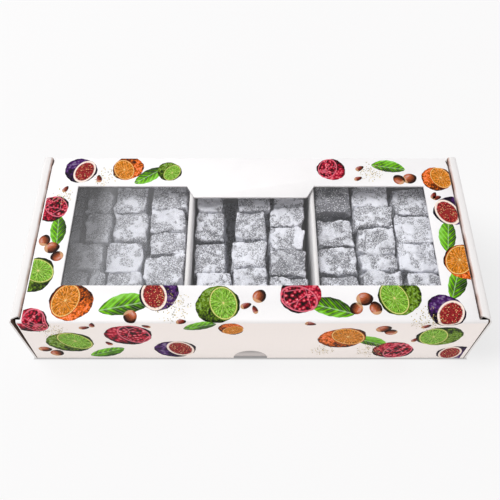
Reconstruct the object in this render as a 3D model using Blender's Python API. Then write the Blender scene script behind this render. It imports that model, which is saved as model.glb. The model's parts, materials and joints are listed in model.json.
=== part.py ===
"""Windowed gift carton of sugar-dusted Turkish delight.

A tray with rolled double end walls, two folded partitions, a hinged lid with a
window, a name tab and a front flap, the clear film under the window, and the
sweets, packed in columns in the three compartments.

Metres, +Z up, origin under the middle of the carton, front towards -Y.
"""
import math
import random

import bmesh
import bpy
from mathutils import Vector, noise

MM = 0.001

# Carton
WIDTH = 320 * MM
DEPTH = 140 * MM
HEIGHT = 64 * MM
BOARD = 1.5 * MM
GAP = 0.3 * MM
ARC_STEPS = 6

# Rolled end walls: two layers of board with a hollow between them
END_WALL = 7.0 * MM
END_OUTER_RADIUS = 3.0 * MM
END_INNER_RADIUS = 2.0 * MM
# Cut in their front ends that the flap lies in: slanted across the top
POCKET_INNER_DEPTH = 4.2 * MM
POCKET_OUTER_DEPTH = 1.8 * MM

# Lid, front flap and window
LID_TOP = 62.4 * MM
LID_GAP_LEFT = 0.4 * MM
LID_GAP_RIGHT = 1.1 * MM
CREASE_RADIUS = 1.5 * MM
HINGE_RELIEF_DEPTH = 8.0 * MM
HINGE_RELIEF_WIDTH = 0.8 * MM
FLAP_BOTTOM = 0.8 * MM
FLAP_TOP_INSET_LEFT = 4.5 * MM
FLAP_TOP_INSET_RIGHT = 2.4 * MM
FLAP_BOTTOM_INSET = 1.9 * MM
WINDOW_LEFT = -130.0 * MM
WINDOW_RIGHT = 130.8 * MM
WINDOW_FRONT = -42.5 * MM
WINDOW_BACK = 43.0 * MM
TAB_HALF_WIDTH = 43.0 * MM
TAB_SPREAD = 5.0 * MM
TAB_DEPTH = 10.4 * MM
TAB_CORNER = 2.2 * MM
NOTCH_RADIUS = 12.4 * MM
NOTCH_RISE = 1.0 * MM
NOTCH_STEPS = 14

# Clear film glued under the window
FILM = 0.3 * MM
FILM_MARGIN = 9.0 * MM

# Corner tabs of the front and back walls, tucked into the hollow end walls
TAB_LENGTH = 30.0 * MM
CORNER_TAB_TOP = 55.0 * MM
CORNER_TAB_OUTER = 156.8 * MM

# Partitions: one strip of board folded over a narrow gap
PARTITION = 3.3 * MM
PARTITION_BOARD = 1.2 * MM
PARTITION_CENTRES = {"partition_left": -44.1 * MM, "partition_right": 46.3 * MM}

# Sweets
SWEET_TOP = 50.0 * MM
LAYER_HEIGHT = 24.0 * MM
SWEET_ROUNDING = 1.3 * MM
CORNER_PULL = 1.0 * MM
SURFACE_PULL = 0.5 * MM
NOISE_SCALE = 95.0
TOP_SPREAD = 1.4 * MM
PIECE_CLEARANCE = 0.4 * MM
SUGAR_BED = 3.0 * MM
ROW_STRIP_LIFT = 2.0 * MM
SEED = 27

# Packing plan. Each column has its middle and its back edge, and its pieces
# from back to front as (shift of the middle, width, length), in millimetres.
# A piece whose length follows a space has the space before it as a fourth value.
COLUMNS = {
    "left_outer": (-139.6, 52.5, ((0.0, 23.5, 25.5), (0.0, 23.5, 26.0), (-3.6, 16.6, 23.5),
                                  (-4.4, 14.6, 22.5), (-3.8, 16.0, 20.0))),
    "left_a": (-115.6, 50.5, ((0.0, 20.8, 23.4), (2.2, 20.2, 25.7), (-4.6, 25.8, 23.8),
                              (-10.0, 19.4, 22.8), (-2.5, 30.0, 19.6))),
    "left_b": (-92.0, 51.5, ((0.0, 25.2, 24.5), (2.4, 26.0, 25.2), (-0.3, 27.3, 26.2),
                             (2.5, 24.8, 22.6), (1.0, 26.0, 18.8))),
    "left_c": (-62.0, 54.5, ((0.0, 28.4, 22.9), (0.0, 27.0, 21.0), (0.6, 26.4, 20.1),
                             (0.0, 28.4, 24.9), (0.0, 27.0, 23.6))),
    "middle_a": (-30.0, 53.0, ((0.0, 20.0, 24.2), (-0.3, 22.4, 25.8), (0.7, 24.2, 24.8, 2.6),
                               (3.5, 25.6, 22.5, 1.0), (2.0, 25.0, 17.6))),
    "middle_b": (1.0, 53.0, ((1.6, 25.4, 23.6), (-0.7, 24.0, 25.8), (-2.0, 25.8, 23.0, 1.8),
                             (-1.3, 25.3, 23.0), (-1.5, 25.0, 22.0))),
    "middle_c": (27.2, 56.0, ((1.8, 24.6, 22.7), (0.5, 26.4, 17.5), (-0.6, 26.6, 21.4),
                              (-0.1, 26.8, 22.5), (0.1, 27.8, 22.9), (0.0, 27.0, 15.2))),
    "right_a": (63.4, 52.0, ((-0.4, 26.4, 24.3), (0.2, 26.4, 23.6, 5.6), (0.3, 28.0, 22.8, 2.0),
                             (1.2, 26.6, 22.2), (0.6, 27.0, 17.4))),
    "right_b": (93.0, 56.0, ((-0.7, 28.4, 23.0), (-0.4, 28.8, 18.2), (0.2, 28.4, 22.9),
                             (0.4, 28.2, 15.2), (2.0, 30.0, 21.7), (1.0, 29.0, 21.0))),
    "right_c": (122.4, 51.5, ((0.0, 26.8, 25.0), (-0.2, 27.2, 25.1), (0.0, 27.4, 24.7),
                              (2.4, 23.6, 22.7), (0.6, 27.0, 19.8))),
    "right_outer": (144.7, 60.0, ((0.0, 13.6, 25.0), (0.0, 13.6, 25.0), (0.0, 13.6, 25.0),
                                  (0.0, 13.6, 25.0), (0.0, 13.6, 25.0))),
}
COMPARTMENTS = {
    "left": ("left_outer", "left_a", "left_b", "left_c"),
    "middle": ("middle_a", "middle_b", "middle_c"),
    "right": ("right_a", "right_b", "right_c", "right_outer"),
}
# Pieces wholly under the lid's margins, stuck together with sugar into rows
MARGIN_ROWS = {
    "side_row_left": ("left_outer_3", "left_outer_4", "left_outer_5"),
    "front_row_left": ("left_a_5", "left_b_5", "left_c_5"),
    "front_row_middle": ("middle_a_5", "middle_b_5", "middle_c_6"),
    "front_row_right": ("right_a_5", "right_b_6", "right_c_5"),
    "side_row_right": tuple(f"right_outer_{number}" for number in range(1, 6)),
}
# A broken end of a sweet lies beside the fourth piece of column left_a
BROKEN_END = (-109.1, 12.2, -23.0, 22.0)
# Pieces that stand lower than the rest
SUNK = {"left_outer_1": 2.5 * MM, "left_outer_2": 3.0 * MM, "right_a_2": 1.4 * MM,
        "middle_a_3": 0.8 * MM, "right_c_4": 1.2 * MM}


def clear_scene():
    for old in list(bpy.data.objects):
        bpy.data.objects.remove(old, do_unlink=True)


def material(name, colour, roughness, alpha=1.0):
    """A plain finish with the part's colour and roughness."""
    finish = bpy.data.materials.new(name)
    finish.use_nodes = True
    shader = finish.node_tree.nodes["Principled BSDF"]
    shader.inputs["Base Color"].default_value = (*colour, 1.0)
    shader.inputs["Roughness"].default_value = roughness
    shader.inputs["Metallic"].default_value = 0.0
    shader.inputs["Alpha"].default_value = alpha
    return finish


def add_object(name, mesh_data, finish):
    """Turn a bmesh into a named object with its faces pointing out."""
    bmesh.ops.recalc_face_normals(mesh_data, faces=mesh_data.faces)
    mesh = bpy.data.meshes.new(name)
    mesh_data.to_mesh(mesh)
    mesh_data.free()
    mesh.materials.append(finish)
    thing = bpy.data.objects.new(name, mesh)
    bpy.context.scene.collection.objects.link(thing)
    return thing


def prism(outline, place, low, high):
    """Extrude a flat outline; place(a, b, t) gives the point for outline a, b at t."""
    mesh_data = bmesh.new()
    rings = [[mesh_data.verts.new(place(a, b, t)) for a, b in outline] for t in (low, high)]
    mesh_data.faces.new(rings[0][::-1])
    mesh_data.faces.new(rings[1])
    count = len(outline)
    for i in range(count):
        j = (i + 1) % count
        mesh_data.faces.new((rings[0][i], rings[0][j], rings[1][j], rings[1][i]))
    return mesh_data


def along_x(a, b, t):
    return Vector((t, a, b))


def along_y(a, b, t):
    return Vector((a, t, b))


def along_z(a, b, t):
    return Vector((a, b, t))


def block(low, high):
    """A box between two corners."""
    outline = ((low[0], low[1]), (high[0], low[1]), (high[0], high[1]), (low[0], high[1]))
    return prism(outline, along_z, low[2], high[2])


def arc(centre, radius, start, end, steps=ARC_STEPS):
    """Points of a circular arc; the angles are in degrees."""
    points = []
    for i in range(steps + 1):
        angle = math.radians(start + (end - start) * i / steps)
        points.append((centre[0] + radius * math.cos(angle), centre[1] + radius * math.sin(angle)))
    return points


def combine(base, others, operation):
    """Apply one Boolean of a whole collection to the base, and remove its objects."""
    group = bpy.data.collections.new(base.name + "_tools")
    bpy.context.scene.collection.children.link(group)
    for other in others:
        bpy.context.scene.collection.objects.unlink(other)
        group.objects.link(other)
    change = base.modifiers.new("combine", "BOOLEAN")
    change.operation = operation
    change.operand_type = "COLLECTION"
    change.collection = group
    change.solver = "EXACT"
    graph = bpy.context.evaluated_depsgraph_get()
    result = bpy.data.meshes.new_from_object(base.evaluated_get(graph))
    base.modifiers.clear()
    base.data = result
    for other in others:
        bpy.data.objects.remove(other, do_unlink=True)
    bpy.data.collections.remove(group)
    return base


def end_wall_loop(inset):
    """Cross-section of the right end wall in x and z, pulled in by inset all round."""
    outer_x = WIDTH / 2 - inset
    inner_x = WIDTH / 2 - END_WALL + inset
    top = HEIGHT - inset
    outer_r = END_OUTER_RADIUS - inset
    inner_r = END_INNER_RADIUS - inset
    loop = [(outer_x, inset)]
    loop += arc((outer_x - outer_r, top - outer_r), outer_r, 0, 90)
    loop += arc((inner_x + inner_r, top - inner_r), inner_r, 90, 180)
    loop.append((inner_x, inset))
    return loop


def end_wall(side, finish):
    """Board rolled up, over and down again, open at its front and back ends."""
    front = -DEPTH / 2
    back = DEPTH / 2
    loops = []
    mesh_data = bmesh.new()
    for inset in (0.0, BOARD):
        for y in (front, back):
            loops.append([mesh_data.verts.new((side * x, y, z)) for x, z in end_wall_loop(inset)])
    outer_front, outer_back, inner_front, inner_back = loops
    count = len(outer_front)
    for i in range(count):
        j = (i + 1) % count
        mesh_data.faces.new((outer_front[i], outer_front[j], outer_back[j], outer_back[i]))
        mesh_data.faces.new((inner_front[i], inner_back[i], inner_back[j], inner_front[j]))
        mesh_data.faces.new((outer_front[i], inner_front[i], inner_front[j], outer_front[j]))
        mesh_data.faces.new((outer_back[i], outer_back[j], inner_back[j], inner_back[i]))
    wall = add_object("end_wall", mesh_data, finish)
    return combine(wall, [flap_pocket(side, finish)], "DIFFERENCE")


def flap_pocket(side, finish):
    """What the front end of an end wall leaves free for the flap, but for its outer layer."""
    front = -DEPTH / 2
    outer_x = WIDTH / 2 - BOARD
    inner_x = WIDTH / 2 - END_WALL - BOARD
    outline = [(inner_x, front - BOARD), (outer_x, front - BOARD), (outer_x, front + POCKET_OUTER_DEPTH),
               (inner_x + BOARD, front + POCKET_INNER_DEPTH), (inner_x, front + POCKET_INNER_DEPTH)]
    placed = [(side * x, y) for x, y in outline]
    return add_object("flap_pocket", prism(placed, along_z, -BOARD, HEIGHT + BOARD), finish)


def corner_tab(side, y_outer, inward, finish):
    """End of the front or back wall, turned a right angle into the hollow end wall."""
    joint_x = WIDTH / 2 - END_WALL - BOARD
    turn = 2.4 * MM
    outer = arc((CORNER_TAB_OUTER - turn, turn), turn, 270, 360)
    inner = arc((CORNER_TAB_OUTER - turn, turn), turn - BOARD, 360, 270)
    outline = [(joint_x, 0.0)] + outer + [(CORNER_TAB_OUTER, TAB_LENGTH)]
    outline += [(CORNER_TAB_OUTER - BOARD, TAB_LENGTH)] + inner + [(joint_x, BOARD)]
    placed = [(side * x, y_outer + inward * y) for x, y in outline]
    tab = prism(placed, along_z, BOARD / 2, CORNER_TAB_TOP)
    return add_object("corner_tab", tab, finish)


def make_tray(finish):
    """Floor, front and back walls, rolled end walls and corner tabs in one board."""
    inner_x = WIDTH / 2 - END_WALL + BOARD / 2
    front = -DEPTH / 2 + BOARD + GAP
    back = DEPTH / 2
    wall_top = LID_TOP - BOARD - GAP
    tray = add_object("tray", block((-inner_x, front, 0), (inner_x, back, BOARD)), finish)
    others = [
        add_object("front_wall", block((-inner_x, front, 0), (inner_x, front + BOARD, wall_top)), finish),
        add_object("back_wall", block((-inner_x, back - BOARD, 0), (inner_x, back, wall_top)), finish),
    ]
    for side in (-1, 1):
        others.append(end_wall(side, finish))
        others.append(corner_tab(side, front, 1, finish))
        others.append(corner_tab(side, back, -1, finish))
    return combine(tray, others, "UNION")


def make_partition(name, centre, finish):
    """A strip of board folded in two, with its round fold on top."""
    base = BOARD + GAP
    top = LID_TOP - BOARD - FILM - 3 * GAP
    outer_r = PARTITION / 2
    inner_r = outer_r - PARTITION_BOARD
    outer = arc((centre, top - outer_r), outer_r, 0, 180, 2 * ARC_STEPS)
    inner = arc((centre, top - outer_r), inner_r, 180, 0, 2 * ARC_STEPS)
    outline = [(centre + outer_r, base)] + outer + [(centre - outer_r, base)]
    outline += [(centre - inner_r, base)] + inner + [(centre + inner_r, base)]
    front = -DEPTH / 2 + 2 * BOARD + 2 * GAP
    back = DEPTH / 2 - BOARD - GAP
    return add_object(name, prism(outline, along_y, front, back), finish)


def window_outline():
    """The window, whose back edge steps forward round the rounded name tab."""
    tab_front = WINDOW_BACK - TAB_DEPTH
    right = arc((TAB_HALF_WIDTH - TAB_CORNER, tab_front + TAB_CORNER), TAB_CORNER, -20, -90)
    left = [(-x, y) for x, y in reversed(right)]
    outline = [(WINDOW_LEFT, WINDOW_FRONT), (WINDOW_RIGHT, WINDOW_FRONT), (WINDOW_RIGHT, WINDOW_BACK)]
    outline += [(TAB_HALF_WIDTH + TAB_SPREAD, WINDOW_BACK)] + right + left
    outline += [(-TAB_HALF_WIDTH - TAB_SPREAD, WINDOW_BACK), (WINDOW_LEFT, WINDOW_BACK)]
    return outline


def lid_profile():
    """Side view of the lid in y and z: top panel, round crease and front flap."""
    front = -DEPTH / 2
    crease = arc((front + CREASE_RADIUS + BOARD / 2, LID_TOP - CREASE_RADIUS - BOARD / 2),
                 CREASE_RADIUS + BOARD / 2, 90, 180)
    profile = [(DEPTH / 2, LID_TOP)] + crease + [(front, FLAP_BOTTOM), (front + BOARD, FLAP_BOTTOM)]
    inner_r = CREASE_RADIUS - BOARD / 2
    profile += arc((front + BOARD + inner_r, LID_TOP - BOARD - inner_r), inner_r, 180, 90)
    profile.append((DEPTH / 2, LID_TOP - BOARD))
    return profile


def lid_side_trim(side, gap):
    """What is cut off beside the top panel, in x and y, with the relief at the hinge."""
    edge = WIDTH / 2 - END_WALL - gap
    relieved = edge - HINGE_RELIEF_WIDTH
    front = -DEPTH / 2 + BOARD + GAP / 2
    back = DEPTH / 2 + BOARD
    far = WIDTH / 2 + BOARD
    outline = [(edge, front), (far, front), (far, back), (relieved, back)]
    outline += [(relieved, DEPTH / 2 - HINGE_RELIEF_DEPTH / 2), (edge, DEPTH / 2 - HINGE_RELIEF_DEPTH)]
    return [(side * x, y) for x, y in outline]


def flap_side_trim(side, top_inset):
    """What is cut off beside the front flap, in x and z; the flap widens downwards."""
    far = WIDTH / 2 + BOARD
    top = HEIGHT + BOARD
    outline = [(WIDTH / 2 - FLAP_BOTTOM_INSET, -BOARD), (far, -BOARD), (far, top), (WIDTH / 2 - top_inset, top)]
    return [(side * x, z) for x, z in outline]


def make_lid(finish):
    """Top panel and front flap from one board, with its window and thumb notch."""
    half = WIDTH / 2
    lid = add_object("lid", prism(lid_profile(), along_x, -half, half), finish)
    clear = 4 * BOARD
    window = prism(window_outline(), along_z, LID_TOP - clear, LID_TOP + clear)
    cutters = [add_object("window_cut", window, finish)]
    sides = ((-1, LID_GAP_LEFT, FLAP_TOP_INSET_LEFT), (1, LID_GAP_RIGHT, FLAP_TOP_INSET_RIGHT))
    for side, gap, inset in sides:
        beside_top = prism(lid_side_trim(side, gap), along_z, -BOARD, HEIGHT + BOARD)
        cutters.append(add_object("top_trim", beside_top, finish))
        beside_flap = prism(flap_side_trim(side, inset), along_y, -DEPTH / 2 - clear, -DEPTH / 2 + clear)
        cutters.append(add_object("flap_trim", beside_flap, finish))
    notch = [(-NOTCH_RADIUS, -BOARD)]
    notch += arc((0, FLAP_BOTTOM + NOTCH_RISE), NOTCH_RADIUS, 180, 0, NOTCH_STEPS)
    notch.append((NOTCH_RADIUS, -BOARD))
    through = prism(notch, along_y, -DEPTH / 2 - clear, -DEPTH / 2 + clear)
    cutters.append(add_object("notch_cut", through, finish))
    return combine(lid, cutters, "DIFFERENCE")


def make_film(finish):
    """Clear film under the window, overlapping the board all round."""
    top = LID_TOP - BOARD - GAP
    low = (WINDOW_LEFT - FILM_MARGIN, WINDOW_FRONT - FILM_MARGIN, top - FILM)
    high = (WINDOW_RIGHT + FILM_MARGIN, WINDOW_BACK + FILM_MARGIN, top)
    return add_object("window_film", block(low, high), finish)


def sweet(name, low, high, finish):
    """A hand-cut cube: uneven corners, soft edges and a slightly lumpy skin."""
    draw = random.Random(name + str(SEED))
    half = [(high[i] - low[i]) / 2 for i in range(3)]
    middle = [(high[i] + low[i]) / 2 for i in range(3)]
    pulls = {}
    for sx in (-1, 1):
        for sy in (-1, 1):
            side_x = draw.uniform(0, CORNER_PULL)
            side_y = draw.uniform(0, CORNER_PULL)
            for sz in (-1, 1):
                drop = draw.uniform(0, CORNER_PULL) if sz > 0 else 0.0
                lean = 1.0 if sz > 0 else 0.6
                pulls[sx, sy, sz] = Vector((-sx * side_x * lean, -sy * side_y * lean, -drop))
    offset = Vector([draw.uniform(0, 50) for _ in range(3)])
    mesh_data = bmesh.new()
    bmesh.ops.create_cube(mesh_data, size=2.0)
    bmesh.ops.subdivide_edges(mesh_data, edges=mesh_data.edges, cuts=2, use_grid_fill=True)
    for vert in mesh_data.verts:
        unit = vert.co.copy()
        place = [0.0, 0.0, 0.0]
        rims = 0
        for i in range(3):
            share = abs(unit[i])
            if share > 0.9:
                place[i] = math.copysign(half[i], unit[i])
                rims += 1
            else:
                place[i] = math.copysign(half[i] - SWEET_ROUNDING, unit[i])
        if rims > 1:
            pull = SWEET_ROUNDING * (0.29 if rims == 2 else 0.42)
            for i in range(3):
                if abs(unit[i]) > 0.9:
                    place[i] -= math.copysign(pull, unit[i])
        warp = Vector((0, 0, 0))
        weights = [(place[i] / half[i] + 1) / 2 for i in range(3)]
        for corner, pull in pulls.items():
            share = 1.0
            for i in range(3):
                share *= weights[i] if corner[i] > 0 else 1 - weights[i]
            warp += pull * share
        inward = -Vector(place).normalized()
        lump = (noise.noise(Vector(place) * NOISE_SCALE + offset) + 1) / 2
        vert.co = Vector(middle) + Vector(place) + warp + inward * lump * SURFACE_PULL
    return add_object(name, mesh_data, finish)


def column_pieces(column):
    """Name, x range and y range of each piece of a column, from back to front."""
    centre, back, rows = COLUMNS[column]
    edge = back
    pieces = []
    for number, row in enumerate(rows, start=1):
        shift, width, length = row[:3]
        edge -= sum(row[3:])
        left = (centre + shift - width / 2) * MM
        pieces.append((f"{column}_{number}", (left, left + width * MM),
                       ((edge - length) * MM + PIECE_CLEARANCE, edge * MM)))
        edge -= length
    return pieces


def upper_piece(name, x_range, y_range, finish):
    """One sweet of the upper layer."""
    spread = random.Random(name).uniform(-TOP_SPREAD, TOP_SPREAD / 2)
    top = SWEET_TOP + spread - SUNK.get(name, 0.0)
    base = SWEET_TOP - LAYER_HEIGHT
    return sweet(name, (x_range[0], y_range[0], base), (x_range[1], y_range[1], top), finish)


def strip_span(ranges):
    """Where a strip of sugar runs: what all the ranges share, or else from first middle to last."""
    low = max(pair[0] for pair in ranges) + 2 * SWEET_ROUNDING
    high = min(pair[1] for pair in ranges) - 2 * SWEET_ROUNDING
    if high > low:
        return low, high
    middles = [sum(pair) / 2 for pair in ranges]
    return min(middles), max(middles)


def make_margin_row(row, finish):
    """Sweets in a row, joined near their bases by a strip of sugar through them."""
    members = [piece for column in COLUMNS for piece in column_pieces(column) if piece[0] in MARGIN_ROWS[row]]
    x_low, x_high = strip_span([x_range for _, x_range, _ in members])
    y_low, y_high = strip_span([y_range for _, _, y_range in members])
    base = SWEET_TOP - LAYER_HEIGHT + ROW_STRIP_LIFT
    strip = add_object(row, block((x_low, y_low, base), (x_high, y_high, base + SUGAR_BED)), finish)
    pieces = [upper_piece(name, x_range, y_range, finish) for name, x_range, y_range in members]
    return combine(strip, pieces, "UNION")


def make_lower_layer(compartment, finish):
    """The layer below, stuck together on its sugar."""
    columns = COMPARTMENTS[compartment]
    floor = BOARD + GAP
    top = SWEET_TOP - LAYER_HEIGHT - GAP
    spans = []
    rows = []
    for column in columns:
        pieces = column_pieces(column)
        middles = [sum(x_range) / 2 for _, x_range, _ in pieces]
        middle = sum(middles) / len(middles)
        width = min(x_range[1] - x_range[0] for _, x_range, _ in pieces)
        spans.append((middle - width / 2, middle + width / 2))
        low = (middle - width / 2, pieces[-1][2][0], floor)
        high = (middle + width / 2, pieces[0][2][1], top)
        rows.append(add_object("row", bevelled(block(low, high)), finish))
    bed_front = -DEPTH / 2 + 2 * BOARD + 3 * GAP
    bed_back = DEPTH / 2 - BOARD - 2 * GAP
    bed = block((spans[0][0] - GAP, bed_front, floor + GAP), (spans[-1][1] + GAP, bed_back, floor + SUGAR_BED))
    layer = add_object("lower_layer_" + compartment, bed, finish)
    return combine(layer, rows, "UNION")


def bevelled(mesh_data):
    """Soften every edge of a block."""
    edges = list(mesh_data.edges)
    bmesh.ops.bevel(mesh_data, geom=edges, offset=SWEET_ROUNDING, segments=1, affect="EDGES")
    return mesh_data


def make_sweets(finish):
    hidden = {name for row in MARGIN_ROWS.values() for name in row}
    for column in COLUMNS:
        for name, x_range, y_range in column_pieces(column):
            if name not in hidden:
                upper_piece(name, x_range, y_range, finish)
    for row in MARGIN_ROWS:
        make_margin_row(row, finish)
    middle, width, back, length = [value * MM for value in BROKEN_END]
    upper_piece("left_a_4_end", (middle - width / 2, middle + width / 2), (back - length, back), finish)


def main():
    clear_scene()
    board = material("white_board", (0.90, 0.89, 0.88), 0.55)
    printed = material("printed_board", (0.92, 0.91, 0.90), 0.35)
    film = material("clear_film", (0.95, 0.96, 0.97), 0.05, alpha=0.12)
    sugar = material("dusted_sweet", (0.68, 0.69, 0.73), 0.85)
    make_tray(board)
    for name, centre in PARTITION_CENTRES.items():
        make_partition(name, centre, board)
    make_lid(printed)
    make_film(film)
    for compartment in COMPARTMENTS:
        make_lower_layer(compartment, sugar)
    make_sweets(sugar)


main()
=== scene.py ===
"""Windowed gift carton of sugar-dusted Turkish delight: finishes, print, sugar and stage.

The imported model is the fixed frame. The board pieces get rounded edges and their cut edges show
the flutes, the lid and the back wall get a print of fruit, leaves and nuts, and every sweet
becomes a rough, dusted piece with loose sugar on it.
"""
import contextlib
import itertools
import json
import math
import random

import bmesh
import bpy
import numpy as np
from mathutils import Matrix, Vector

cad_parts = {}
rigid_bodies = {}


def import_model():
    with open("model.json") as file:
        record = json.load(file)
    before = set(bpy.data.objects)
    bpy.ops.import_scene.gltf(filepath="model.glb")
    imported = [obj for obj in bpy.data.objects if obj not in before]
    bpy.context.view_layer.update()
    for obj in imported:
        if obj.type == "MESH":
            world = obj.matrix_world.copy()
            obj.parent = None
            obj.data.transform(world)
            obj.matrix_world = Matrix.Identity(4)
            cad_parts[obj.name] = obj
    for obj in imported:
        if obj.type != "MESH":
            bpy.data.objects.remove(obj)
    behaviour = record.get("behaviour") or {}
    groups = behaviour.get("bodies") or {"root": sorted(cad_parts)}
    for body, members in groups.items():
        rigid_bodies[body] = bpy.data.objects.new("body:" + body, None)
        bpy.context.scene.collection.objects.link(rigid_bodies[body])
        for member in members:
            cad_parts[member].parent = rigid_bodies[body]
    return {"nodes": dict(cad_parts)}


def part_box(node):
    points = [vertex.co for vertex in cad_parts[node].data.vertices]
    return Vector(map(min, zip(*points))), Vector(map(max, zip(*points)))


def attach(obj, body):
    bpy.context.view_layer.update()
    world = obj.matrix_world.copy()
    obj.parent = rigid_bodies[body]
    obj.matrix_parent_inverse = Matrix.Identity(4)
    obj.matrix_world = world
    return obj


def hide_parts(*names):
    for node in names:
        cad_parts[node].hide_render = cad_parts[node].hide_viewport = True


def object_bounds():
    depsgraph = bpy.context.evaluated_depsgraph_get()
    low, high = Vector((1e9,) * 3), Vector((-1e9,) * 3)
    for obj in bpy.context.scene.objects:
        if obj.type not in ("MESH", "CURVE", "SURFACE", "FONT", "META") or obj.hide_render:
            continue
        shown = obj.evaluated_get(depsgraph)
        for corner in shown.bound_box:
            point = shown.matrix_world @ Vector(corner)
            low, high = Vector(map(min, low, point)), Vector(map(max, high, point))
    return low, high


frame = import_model()
CAD_BOX = [list(corner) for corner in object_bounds()]

bl_info = {
    "name": "Windowed Carton of Turkish Delight",
    "version": (1, 0, 0),
    "blender": (4, 5, 0),
    "location": "3D View > Sidebar > Delight",
    "description": "Finishes a packed gift carton and fills it with sugar-dusted sweets",
    "category": "Object",
}

MM = 0.001
MERGE = 1e-6

# Board, as the carton is cut
BOARD = 1.5 * MM
GAP = 0.3 * MM
PARTITION_BOARD = 1.2 * MM
END_WALL = 7.0 * MM
END_OUTER_RADIUS = 3.0 * MM
END_INNER_RADIUS = 2.0 * MM
FRONT_CREASE_RADIUS = 2.25 * MM
FLAP_TOP_INSET = 4.5 * MM
WINDOW_X = (-130.0 * MM, 130.8 * MM)
WINDOW_Y = (-42.5 * MM, 43.0 * MM)
# How far from the window's left side the film carries painted shade, then a fainter painted reflection, then
# neither
PAINTED_SHADE_REACH = (22 * MM, 40 * MM, 90 * MM)

CARTON_LOW, CARTON_HIGH = (Vector(corner) for corner in CAD_BOX)
LID_LOW, LID_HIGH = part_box("lid")
LID_TOP = LID_HIGH.z
FRONT = LID_LOW.y
BACK = LID_HIGH.y


# Settings

def rgb(red, green, blue):
    """Linear colour from the 0 to 255 values of a colour picker."""
    def linear(value):
        share = value / 255
        return share / 12.92 if share <= 0.04045 else ((share + 0.055) / 1.055) ** 2.4
    return (linear(red), linear(green), linear(blue))


def shade(colour, share):
    """A darker kind of a colour; over 1 a share moves it towards white."""
    if share <= 1:
        return tuple(value * share for value in colour)
    return tuple(value + (1 - value) * (share - 1) for value in colour)


def shades(colour, *shares):
    return [shade(colour, share) for share in shares]


def amount_property(name, description, default, **more):
    return bpy.props.FloatProperty(name=name, description=description, default=default, min=0.0, **more)


def length_property(name, description, default):
    return amount_property(name, description, default, unit="LENGTH", precision=5)


def share_property(name, description, default):
    return amount_property(name, description, default, subtype="FACTOR", max=1.0)


def colour_property(name, description, default):
    return bpy.props.FloatVectorProperty(
        name=name, description=description, default=default, subtype="COLOR", size=3, min=0.0, max=1.0)


def place_property(name, description, default):
    return bpy.props.FloatVectorProperty(
        name=name, description=description, default=default, subtype="TRANSLATION", size=3)


class BoardSettings(bpy.types.PropertyGroup):
    """Board of the tray, the partitions and the lid."""
    liner: colour_property("Liner", "White outer paper of the board", (0.81, 0.79, 0.785))
    coated: colour_property("Coated liner", "Printed side of the lid, where it is bare", (0.90, 0.885, 0.892))
    # The flap's warmer colour is painted warm light from the front.
    flap: colour_property("Flap liner", "Printed side of the flap, where it is bare", (0.955, 0.885, 0.85))
    # The backing is painted shade on the front wall, where the flap's notch shows it.
    backing: colour_property("Backing", "Greyer paper of the wall behind the flap", (0.29, 0.27, 0.265))
    reverse: colour_property("Reverse", "Brown paper inside the hollow end walls", rgb(92, 72, 60))
    # The crease colour makes a patchy brown band along the inner edge of the end walls' tops; a darker kind
    # of it is painted shade in the gap under the lid.
    crease: colour_property("Crease", "Brown paper that shows where a crease has cracked", rgb(168, 116, 92))
    medium: colour_property("Medium", "Fluted paper between the liners", rgb(132, 102, 84))
    hollow: colour_property("Hollow", "Shade inside a flute at a cut edge", rgb(44, 32, 26))
    flute: length_property("Flute pitch", "Distance from one flute to the next", 3.2 * MM)
    rounding: length_property("Edge rounding", "Radius of the board's pressed edges", 0.18 * MM)


class FilmSettings(bpy.types.PropertyGroup):
    """Clear film under the window."""
    tint: colour_property("Tint", "Colour of the film's haze", (0.95, 0.96, 1.0))
    # The haze is painted reflection: a faint, even cover of the film's tint.
    haze: share_property("Haze", "How much the film covers what lies under it", 0.03)
    # The film's darker tint at the left and the sheen are painted shade over the sweets there, darker towards
    # the back.
    dull: colour_property("Dull tint", "Colour of the haze at the left of the window", (0.34, 0.34, 0.35))
    sheen: share_property("Sheen", "How much more the film covers at the left of the window", 0.36)


class PrintSettings(bpy.types.PropertyGroup):
    """Colours and thickness of the printed fruit."""
    ink: length_property("Ink", "Thickness of one printed layer", 0.04 * MM)
    crimson: colour_property("Crimson", "Seeds of the pomegranates", rgb(214, 10, 58))
    orange: colour_property("Orange", "Rind of the oranges", rgb(246, 112, 4))
    green: colour_property("Green", "Flesh of the limes", rgb(150, 212, 60))
    leaf: colour_property("Leaf", "Lighter green of the leaves", rgb(120, 200, 4))
    purple: colour_property("Purple", "Skin of the figs", rgb(76, 26, 104))
    brown: colour_property("Brown", "Skin of the nuts", rgb(186, 92, 50))
    crumb: colour_property("Crumb", "Golden crumbs between the fruit", rgb(172, 150, 72))
    crumbs: amount_property("Crumbs", "Crumbs for each square metre of their patches", 230000.0)


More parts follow.
